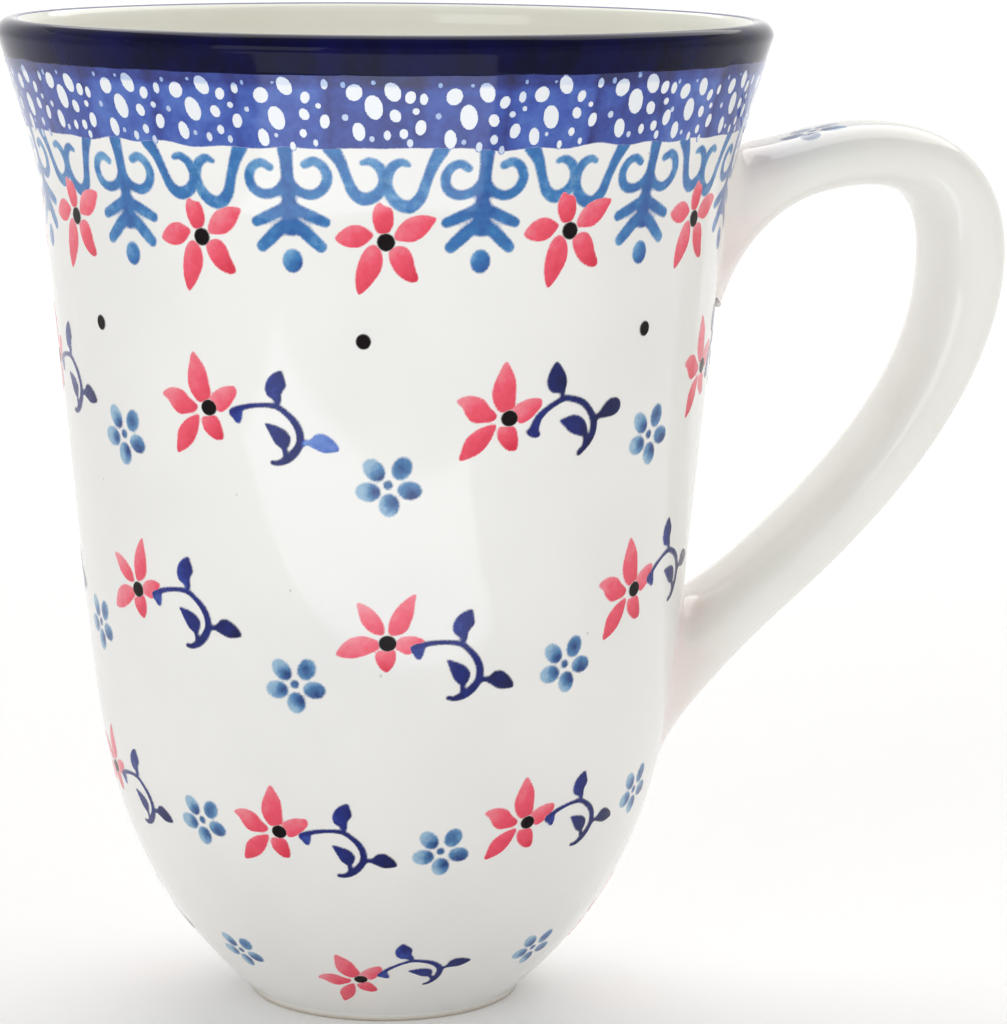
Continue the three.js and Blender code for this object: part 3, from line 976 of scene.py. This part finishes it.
def lace_tree():
    scroll = [(0.6, 2.0, 0.8), (1.5, 1.2, 0.95), (2.8, 0.9, 1.0), (4.1, 1.6, 1.0),
        (4.7, 3.0, 1.0), (4.2, 4.4, 0.95), (3.2, 5.0, 0.9), (2.2, 4.6, 0.85)]
    other = mirrored([(0.6, 2.0, 0.8), (1.6, 1.2, 0.95), (3.0, 0.95, 1.0), (4.2, 1.6, 1.0),
        (4.6, 3.0, 0.95), (4.0, 4.3, 0.9), (2.9, 4.75, 0.85), (2.0, 4.2, 0.8)])
    upper = [(0.3, -0.7, 1.1), (1.5, -1.2, 1.15), (3.0, -1.9, 1.15), (4.2, -2.4, 1.0)]
    lower = [(0.2, -2.6, 1.2), (1.5, -3.4, 1.3), (2.6, -4.4, 1.3), (3.6, -5.3, 1.15)]
    scroll, other, upper, lower = (wider(p, 1.22) for p in (scroll, other, upper, lower))
    return [
        Stroke([(0, 7.6, 2.0), (0.05, 4.5, 1.5), (0, 1.5, 1.6),
            (0, -1.5, 1.6), (0.05, -3.4, 1.3)], 0.6, 0.85),
        Stroke(scroll, 0.65, 0.3),
        Stroke(other, 0.6, 0.3),
        Stroke(upper, 0.75, 0.45),
        Stroke(mirrored(upper), 0.7, 0.45),
        Stroke(lower, 0.75, 0.4),
        Stroke(mirrored(lower), 0.75, 0.4),
        dot_mark(0.1, -7.0, 2.5, 2.85, 0, 0.5, (0.25, -0.3)),
    ]


def lace_lobe():
    half = [(5.3, 6.9, 1.6), (6.3, 5.2, 1.15), (7.0, 3.2, 1.0), (7.8, 1.4, 1.15), (8.9, 0.7, 1.3),
        (10.2, 1.1, 1.2), (11.1, 2.2, 1.1), (11.25, 3.4, 1.1), (10.6, 4.7, 0.95), (9.6, 5.3, 0.8),
        (8.8, 5.1, 0.55)]
    other = [(-5.2, 6.9, 1.5), (-6.1, 5.0, 1.15), (-6.8, 3.0, 1.0), (-7.5, 0.9, 1.15),
        (-8.7, -0.2, 1.3), (-10.1, 0.2, 1.25), (-11.2, 1.7, 1.1), (-11.4, 3.3, 1.1),
        (-10.7, 4.7, 0.95), (-9.7, 5.2, 0.8), (-9.0, 4.9, 0.55)]
    return [Stroke(wider(half, 1.22), 0.6, 0.35), Stroke(wider(other, 1.22), 0.6, 0.35)]


def sponge_spots(drift=0.0):
    """The open spots one press of the sponge leaves; drift pulls neighbouring spots apart."""
    return [
        dot_mark(3.7, -0.4 + drift, 2.2, 3.2, 12, 0.1),
        dot_mark(1.8 - 0.5 * drift, 2.0 + 0.4 * drift, 2.0, 2.2, -20, 0.15),
        dot_mark(5.5 + 0.6 * drift, 2.6 - 0.3 * drift, 1.9, 2.6, 25, 0.1),
        dot_mark(9.7, 2.2 - drift, 1.0, 1.5, 0, 0.3),
        dot_mark(7.7 + 0.5 * drift, 1.5 + 0.2 * drift, 1.3, 1.7, -15, 0.2),
        dot_mark(8.8, 0.1 - 0.3 * drift, 0.9, 0.9, 0, 0.35),
        dot_mark(6.7 - 0.5 * drift, -0.7, 1.4, 1.7, 20, 0.15),
        dot_mark(9.4, -1.9 - 0.4 * drift, 1.4, 2.0, -10, 0.2),
        dot_mark(7.0 + 0.4 * drift, -3.0, 1.1, 1.3, 0, 0.3),
        dot_mark(1.8, -3.1 + 0.5 * drift, 1.6, 2.4, 8, 0.15),
        dot_mark(5.3, -3.9 + 0.9 * drift, 0.9, 1.3, 0, 0.35),
        dot_mark(3.4, -3.4 - 0.3 * drift, 0.7, 0.8, 0, 0.6),
        dot_mark(8.1, -4.2, 0.8, 1.1, 0, 0.45),
        dot_mark(0.2, -0.4 - 0.6 * drift, 0.8, 0.9, 0, 0.6),
        dot_mark(0.1, 3.3, 0.6, 0.8, 0, 0.55),
        dot_mark(3.7, 3.4 + 0.2 * drift, 0.6, 0.6, 0, 0.6),
    ]


SPECKLE_MIDDLE = 117.5
SPECKLE_HALF = 4.55


def build_speckle():
    """The sponged blue band, stamp beside stamp, with an uneven lower edge."""
    repeats, around, rows = 27, 648, 18
    angles = np.arange(around) * 2 * math.pi / around
    rng = random.Random(5)
    shade = np.array([rng.uniform(-0.16, 0.16) for _ in range(repeats)])
    phase = (angles / (2 * math.pi) * repeats) % 1
    which = (angles / (2 * math.pi) * repeats).astype(int) % repeats
    join = np.exp(-((np.minimum(phase, 1 - phase) / 0.07) ** 2))
    low_edge = SPECKLE_MIDDLE - SPECKLE_HALF + 0.28 * wobble(angles, 21, 6)
    low_edge = low_edge + 0.3 * (np.minimum(phase, 1 - phase) - 0.25)
    low = arc_of(low_edge)
    high = BAND_FOOT_ARC + 0.7
    s = np.append(np.linspace(0, 1, rows - 3) ** 1.4 * 0.925, [0.95, 0.975, 1.0])
    arcs = low[None, :] + (high - low)[None, :] * s[:, None]
    r, z, nr, nz = on_side(arcs)
    normals = np.stack([nr * np.cos(angles), nr * np.sin(angles), nz], -1)
    lift = np.clip((arcs - low) / 0.15, 0, 1) * 0.095 - 0.03
    lift = np.where(arcs > BAND_FOOT_ARC + 0.05, -0.12, lift)
    verts = np.stack([r * np.cos(angles), r * np.sin(angles), z], -1) + normals * lift[..., None]
    edge = np.clip((arcs - low) / 0.3, 0, 1)
    under_rim = np.clip((arcs - BAND_FOOT_ARC + 1.5) / 0.5, 0, 1)
    tone = 0.42 + shade[which][None, :] + 0.2 * join[None, :] + 0.32 * under_rim
    faces = tube_faces(rows, around).tolist()
    verts, normals = verts.reshape(-1, 3), normals.reshape(-1, 3)
    values = {"edge": edge.ravel(), "tone": np.clip(tone, 0, 1).ravel()}
    make_object("sponged_speckle_band", verts, faces, speckle_paint(), normals, values)
    spots = Layer(0.1, 0.3)
    drifts = ((0.0, 0.12), (0.8, 0.18), (-0.7, 0.08))
    marks = [stamp(sponge_spots(drift), 0.22, bleed) for drift, bleed in drifts]
    for k in range(repeats):
        azimuth = (k + 0.5) * 360 / repeats + rng.uniform(-0.7, 0.7)
        height = SPECKLE_MIDDLE + rng.uniform(-0.25, 0.25)
        turn, size, tint = rng.uniform(-4, 4), rng.uniform(0.95, 1.02), rng.uniform(-0.1, 0.25)
        spots.press(marks[(k * 2 + k // 4) % 3], azimuth, height, turn, size, tint)
    spots.build("speckle_open_spots", spot_paint(), "speckle_paint")


def by_handle(azimuth, low, high):
    """True where a mark between two heights would run into one of the handle's roots."""
    return from_handle(azimuth) < 19 and (high > 86 and low < 114 or high > 29 and low < 57)


LACE_HEIGHT = 106.5


def build_lace():
    tree, lobe = stamp(lace_tree(), bleed=0.22, web=0.7), stamp(lace_lobe(), bleed=0.22, web=0.6)
    layer = Layer(0.035, 0.42)
    rng = random.Random(8)
    for k in range(12):
        azimuth = 15 + 30 * k
        if from_handle(azimuth) > 17:
            near = azimuth + rng.uniform(-0.3, 0.3)
            height = LACE_HEIGHT + rng.uniform(-0.2, 0.2)
            layer.press(tree, near, height, rng.uniform(-1, 1), 1, rng.uniform(-0.08, 0.08))
            layer.press(lobe, azimuth, LACE_HEIGHT, 0, 1, rng.uniform(-0.08, 0.08))
    layer.build("painted_lace", paint("lace_blue", LACE_STOPS, 0.55, 1.5), "lace_paint")


BORDER_HEIGHT = 102.4
BORDER_TURNS = [4, 8, 0, 6, -6, 3, -4, 7, -8, 5, 0, -3]


def build_border_flowers(petals, seeds):
    flower, seed = stamp(BORDER_FLOWER), stamp([dot_mark(0, 0, 2.1, 2.1)], 0.2)
    for k, turn in enumerate(BORDER_TURNS):
        azimuth = 30 * k - 60
        if not by_handle(azimuth, 97, 107):
            height = BORDER_HEIGHT + (0.6 if k in (0, 3, 4, 8) else -0.3)
            petals.press(flower, azimuth, height, turn, 0.97 if k % 3 else 1.0, 0.03 * (k % 4) - 0.05)
            seeds.press(seed, azimuth, height, 0, 1)


# Each row goes right round the cup: height, first azimuth, how many, then the flowers, vines, turns of
# the flowers and turns of the vines that its marks take one after another, and their size.
SPRIG_ROWS = [
    (81.5, -82, 7, "a", "bcaa", (10, 10, 0, 12), (8, 6, 0, 8), 1.0),
    (56, -51, 7, "bba", "b", (14, 0, 8), (8, 0, 26), 1.0),
    (29.5, -73, 7, "baa", "b", (14, 0, 2), (4, 5, 14), 0.9),
    (9.5, -7, 4, "a", "b", (22, 8), (34, 12), 0.8),
]
BLUE_ROWS = [(75.3, -51, 7, 0.95), (49, -68, 7, 0.9), (28, -40, 7, 0.85), (8.8, -44, 4, 0.78)]
DOT_ROW = (90.3, -55, 7)
WAVE = 5  # how much higher the places at the sides are than those at the front, millimetres


def row_places(first, count):
    """The azimuths of a row's marks, evenly stepped round the cup."""
    return [first + 360 * k / count for k in range(count)]


def row_height(height, azimuth):
    return height + WAVE * (abs(math.sin(math.radians(azimuth))) - 0.5)


def build_sprigs(petals, vines, blues, seeds):
    flowers = {"a": stamp(FLOWER_A), "b": stamp(FLOWER_B)}
    vine_marks = {"a": vine_a(), "b": vine_b(), "c": vine_b(0.12)}
    stems = {kind: stamp(marks, web=0.35) for kind, marks in vine_marks.items()}
    heart, dot = stamp([dot_mark(0, 0, 2.15, 1.95)], 0.2), stamp([dot_mark(0, 0, 1.75, 1.85)], 0.18)
    blue = stamp(blue_flower(), bleed=0.25)
    for height, first, count, kinds, vine_kinds, turns, vine_turns, size in SPRIG_ROWS:
        for k, azimuth in enumerate(row_places(first, count)):
            z, turn = row_height(height, azimuth), turns[k % len(turns)]
            if not by_handle(azimuth, z - 8, z + 8):
                petals.press(flowers[kinds[k % len(kinds)]], azimuth, z, turn, size, 0.04 * (k % 5) - 0.08)
                vine = stems[vine_kinds[k % len(vine_kinds)]]
                vines.press(vine, azimuth, z, vine_turns[k % len(vine_turns)], size, 0.05 * (k % 3) - 0.05)
                seeds.press(heart, azimuth, z, turn, size)
    for height, first, count, size in BLUE_ROWS:
        for k, azimuth in enumerate(row_places(first, count)):
            z = row_height(height, azimuth)
            if not by_handle(azimuth, z - 5, z + 5):
                blues.press(blue, azimuth, z, 7 * (k % 4) - 6, size, 0.05 * (k % 4) - 0.06)
    height, first, count = DOT_ROW
    for azimuth in row_places(first, count):
        if not by_handle(azimuth, height - 3, height + 3):
            seeds.press(dot, azimuth, height)


HANDLE_FLOWER_X = 55.8  # how far out from the cup's axis the flower on the handle lies
HANDLE_FLOWER_ASIDE = 2.6


def build_handle_flower(blues):
    share = np.linspace(0, 1, 801)
    centre = float(np.interp(-HANDLE_FLOWER_X, -strap_at(share)[0][500:], share[500:]))
    length = LINE_ARC[-1]

    def place(u, v):
        """u runs towards the cup along the strap's outer face, v across it."""
        at = centre + u / length
        x, z, ox, oz, width, thick = strap_at(at)
        v = v + HANDLE_FLOWER_ASIDE
        side = np.clip(np.abs(2 * v / width), 0, 0.999)
        t = -thick / 2 * (1 - side**SQUARENESS) ** (1 / SQUARENESS)
        p = np.stack([x + ox * t, -v, z + oz * t], 1)
        tilt = -np.sign(v) * side ** (SQUARENESS - 1) * thick / width
        return p, unit(np.stack([-ox, tilt, -oz], 1))

    blues.press_on(stamp(blue_flower(), bleed=0.25), place, 20, 0.95, 0.3)


def build_decoration():
    build_speckle()
    build_lace()
    border, petals, vines = Layer(0.065, 0.26), Layer(0.065, 0.26), Layer(0.085, 0.32)
    blues, seeds = Layer(0.05, 0.5), Layer(0.105, 0.24)
    build_border_flowers(border, seeds)
    build_sprigs(petals, vines, blues, seeds)
    build_handle_flower(blues)
    coral = paint("coral_petals", CORAL_STOPS, 0.3, 1.4, 0.45)
    border.build("painted_border_flowers", coral, "coral_paint")
    petals.build("painted_sprig_flowers", coral, "coral_paint")
    indigo = paint("indigo_vines", INDIGO_STOPS, 0.25, 1.2, 0.45, 0.26)
    vines.build("painted_vines", indigo, "indigo_paint")
    cornflower = paint("cornflower_blue", BLUE_STOPS, 0.45, 1.0, 0.6)
    blues.build("painted_blue_flowers", cornflower, "cornflower_paint")
    seeds.build("painted_seed_dots", paint("seed_black", SEED_STOPS, 0.3, 0.8, 0.3, 0.1), "seed_paint")


# ---- floor, light and camera


def build_floor():
    g = Graph("pale_floor")
    g.shader.inputs["Roughness"].default_value = 0.75
    g.shader.inputs["Emission Color"].default_value = (1, 1, 1, 1)
    g.shader.inputs["Emission Strength"].default_value = 0.05
    g.colour(g.mix(g.noise(400, 2), linear(247, 247, 247), linear(245, 245, 245)))
    # a round floor that sweeps up into a low wall, so no horizon shows from any side
    bend = np.radians(np.linspace(0, 90, 13))
    sweep = [(2 + 0.6 * math.sin(a), 0.6 - 0.6 * math.cos(a)) for a in bend]
    verts, faces, _ = lathe([(0, 0), (0.3, 0), (1, 0), *sweep, (2.6, 1.5)], 96)
    mesh = bpy.data.meshes.new("floor")
    mesh.from_pydata(verts.tolist(), [], [f[::-1] for f in faces])
    mesh.shade_smooth()
    mesh.materials.append(g.material)
    floor = bpy.data.objects.new("floor", mesh)
    scene.collection.objects.link(floor)


def add_light(name, place, aim, size, power, colour=(1, 1, 1), size_y=None):
    data = bpy.data.lights.new(name, "AREA")
    data.shape = "RECTANGLE"
    data.size = size
    data.size_y = size_y or size
    data.energy = power
    data.color = colour
    light = bpy.data.objects.new(name, data)
    light.location = place
    light.rotation_euler = (Vector(aim) - Vector(place)).to_track_quat("-Z", "Y").to_euler()
    scene.collection.objects.link(light)
    return light


def build_light():
    world = bpy.data.worlds.new("studio")
    scene.world = world
    world.use_nodes = True
    background = world.node_tree.nodes["Background"]
    background.inputs["Color"].default_value = (1.0, 0.995, 0.985, 1)
    background.inputs["Strength"].default_value = 0.51
    add_light("window", (-1.15, -1.25, 0.55), (0, 0, 0.08), 1.0, 4.6, (0.97, 0.985, 1.0), 0.9)
    add_light("ceiling", (0.5, 1.4, 1.8), (0.2, 0.3, 0), 2.4, 31, (1.0, 0.99, 0.97))
    room = add_light("room", (1.3, -0.7, 0.5), (0, 0, 0.07), 0.8, 1.2, (1.0, 0.95, 0.9))
    room.visible_glossy = False
    sky = (0.84, 0.91, 1.0)
    glow = add_light("window_glow", (-0.07, -0.19, 0.004), (-0.07, -0.19, 1), 0.3, 0.13, sky, 0.09)
    glow.visible_camera = False


def build_camera():
    data = bpy.data.cameras.new("camera")
    data.sensor_width = 36
    data.lens = 135.32
    camera = bpy.data.objects.new("camera", data)
    scene.collection.objects.link(camera)
    scene.camera = camera
    swing = math.radians(HANDLE_AZIMUTH - 90)
    distance, height = 0.48947, 0.14755
    yaw, pitch, roll = (math.radians(a) for a in (1.783, 9.812, 0.422))
    forward = Vector((math.sin(yaw) * math.cos(pitch), math.cos(yaw) * math.cos(pitch), -math.sin(pitch)))
    right = Vector((math.cos(yaw), -math.sin(yaw), 0))
    up = right.cross(forward)
    c, s = math.cos(roll), math.sin(roll)
    columns = (c * right + s * up, c * up - s * right, -forward, Vector((0, -distance, height)))
    to_front = Matrix.Rotation(-swing, 3, "Z")
    columns = [(*(to_front @ column), 0) for column in columns]
    columns[3] = (*columns[3][:3], 1)
    camera.matrix_world = Matrix(columns).transposed()


scene.view_settings.view_transform = "Standard"
build_cup()
build_rim()
build_handle()
build_decoration()
build_floor()
build_light()
build_camera()

bpy.context.view_layer.update()
